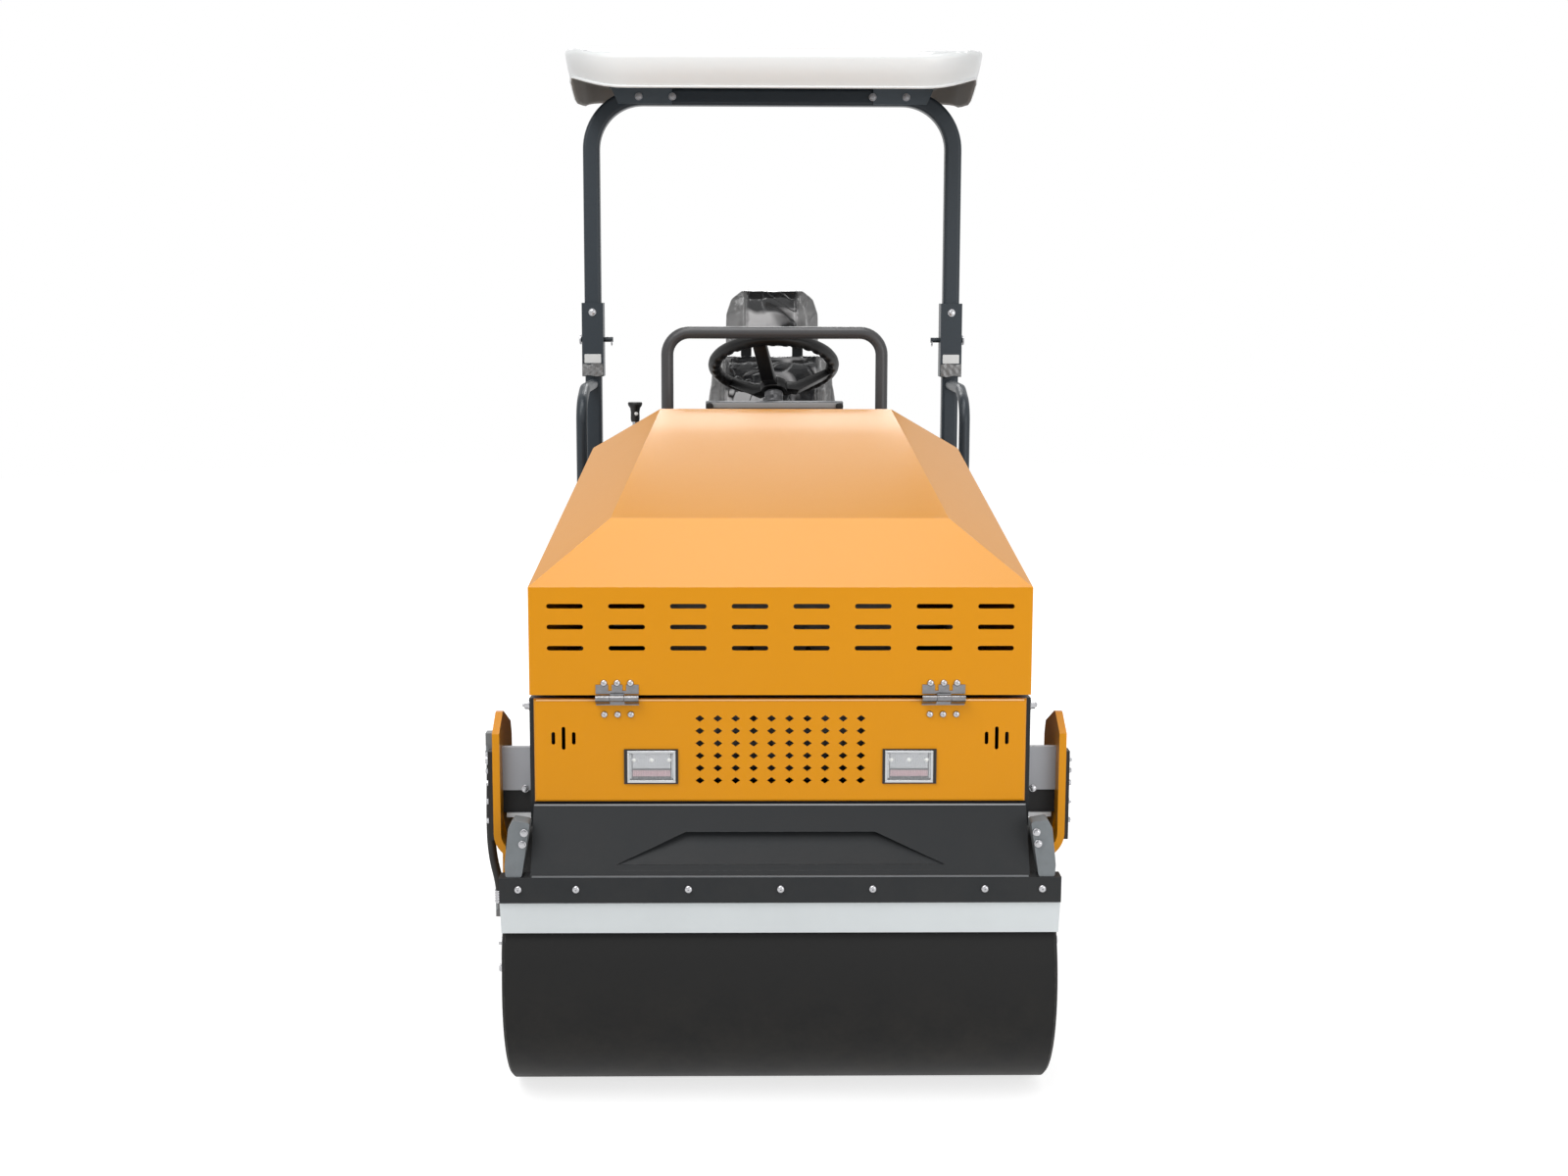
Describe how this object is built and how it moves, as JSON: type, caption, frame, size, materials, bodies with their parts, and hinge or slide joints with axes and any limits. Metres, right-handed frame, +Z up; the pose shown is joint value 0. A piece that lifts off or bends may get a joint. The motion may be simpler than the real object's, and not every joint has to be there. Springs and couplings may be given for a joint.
{
  "type": "tandem road roller",
  "caption": "Small ride-on tandem drum roller with a faceted engine hood, waist joint steering, operator's seat, grab rails and a fold-down roll bar with canopy.",
  "frame": {"origin": "on the ground at the middle of the bounding box, midway between the drums", "axes": "+Z up, +X to the machine's left, +Y to its rear; the front with the hood faces -Y"},
  "size_m": [1.3244, 2.286, 2.498],
  "materials": {
    "paint_orange": "gloss orange-yellow paint",
    "frame_charcoal": "satin charcoal paint",
    "bar_slate": "satin dark slate paint",
    "drum_steel": "satin charcoal rolled steel",
    "blade_steel": "light grey scraper sheet",
    "zinc": "zinc plated",
    "canopy_white": "white moulding",
    "vinyl_black": "black vinyl under clear film",
    "rubber_black": "matte black",
    "console_grey": "satin grey",
    "cylinder_chrome": "polished",
    "cast_iron": "dark cast metal",
    "lamp_black": "dark lamp housing",
    "plastic_black": "black plastic"
  },
  "bodies": {
    "front_frame": {"front_frame": "frame_charcoal", "front_neck": "frame_charcoal", "waist_pin": "cast_iron", "steer_base_pin": "zinc", "engine_block": "cast_iron", "front_panel": "paint_orange", "work_lamps": "lamp_black", "front_sloping_plate": "frame_charcoal", "front_scraper_bar": "frame_charcoal", "front_scraper_blade": "blade_steel", "front_scraper_arms": "cast_iron", "front_drum_arms": "paint_orange", "front_arm_strips": "rubber_black", "front_axles": "cast_iron", "front_mounts": "cast_iron", "front_buffers": "rubber_black", "drum_hose": "rubber_black", "hose_fittings": "zinc", "hinge_lower": "zinc"},
    "front_drum": {"front_drum": "drum_steel"},
    "hood": {"hood": "paint_orange", "hood_face": "paint_orange", "hinge_upper": "zinc"},
    "waist_yoke": {"waist_yoke": "cast_iron"},
    "steer_barrel": {"steer_barrel": "frame_charcoal"},
    "steer_rod": {"steer_rod": "cylinder_chrome"},
    "rear_frame": {"rear_frame": "frame_charcoal", "rear_neck": "frame_charcoal", "tow_bracket": "frame_charcoal", "swing_shaft": "cylinder_chrome", "rear_panel": "paint_orange", "rear_sloping_plate": "frame_charcoal", "rear_scraper_bar": "frame_charcoal", "rear_scraper_blade": "blade_steel", "rear_scraper_arms": "cast_iron", "rear_drum_arms": "paint_orange", "rear_arm_strips": "rubber_black", "rear_axles": "cast_iron", "rear_mounts": "cast_iron", "rear_buffers": "rubber_black", "deck": "paint_orange", "console": "console_grey", "steering_column": "plastic_black", "grab_rail": "bar_slate", "seat_box": "frame_charcoal", "seat_cushion": "vinyl_black", "seat_back": "vinyl_black", "headrest": "vinyl_black", "seat_frame": "frame_charcoal", "lever_box": "console_grey", "travel_lever": "plastic_black", "roll_posts": "bar_slate", "side_rails": "bar_slate"},
    "rear_drum": {"rear_drum": "drum_steel"},
    "roll_hoop": {"roll_hoop": "bar_slate", "cross_member": "bar_slate", "canopy": "canopy_white"},
    "steering_wheel": {"steering_wheel": "plastic_black"}
  },
  "joints": [
    {"name": "front_drum_roll", "type": "hinge", "parent": "front_frame", "child": "front_drum", "pos_m": [0, -0.84, 0.29], "axis": [1, 0, 0], "continuous": true},
    {"name": "hood_hinge", "type": "hinge", "parent": "front_frame", "child": "hood", "pos_m": [0, -1.079, 0.9305], "axis": [1, 0, 0], "range_deg": [0, 65]},
    {"name": "articulation", "type": "hinge", "parent": "front_frame", "child": "waist_yoke", "pos_m": [0, 0, 0.515], "axis": [0, 0, 1], "range_deg": [-30, 30]},
    {"name": "cylinder_swing", "type": "hinge", "parent": "front_frame", "child": "steer_barrel", "pos_m": [0.25, -0.43, 0.515], "axis": [0, 0, 1], "range_deg": [-6, 6]},
    {"name": "cylinder_stroke", "type": "slide", "parent": "steer_barrel", "child": "steer_rod", "axis": [-0.2265, 0.974, 0], "range_m": [-0.08, 0.08]},
    {"name": "frame_swing", "type": "hinge", "parent": "waist_yoke", "child": "rear_frame", "pos_m": [0, 0, 0.515], "axis": [0, 1, 0], "range_deg": [-8, 8]},
    {"name": "rear_drum_roll", "type": "hinge", "parent": "rear_frame", "child": "rear_drum", "pos_m": [0, 0.84, 0.29], "axis": [1, 0, 0], "continuous": true},
    {"name": "roll_bar_fold", "type": "hinge", "parent": "rear_frame", "child": "roll_hoop", "pos_m": [0, 0.8, 1.645], "axis": [-1, 0, 0], "range_deg": [0, 90]},
    {"name": "steering_wheel_turn", "type": "hinge", "parent": "rear_frame", "child": "steering_wheel", "pos_m": [0, 0.35, 1.583], "axis": [0, 0.4617, 0.887], "continuous": true}
  ],
  "couplings": [
    {"joint": "cylinder_swing", "follows": "articulation", "ratio": -0.08437},
    {"joint": "cylinder_stroke", "follows": "articulation", "m_per_rad": 0.14096}
  ]
}
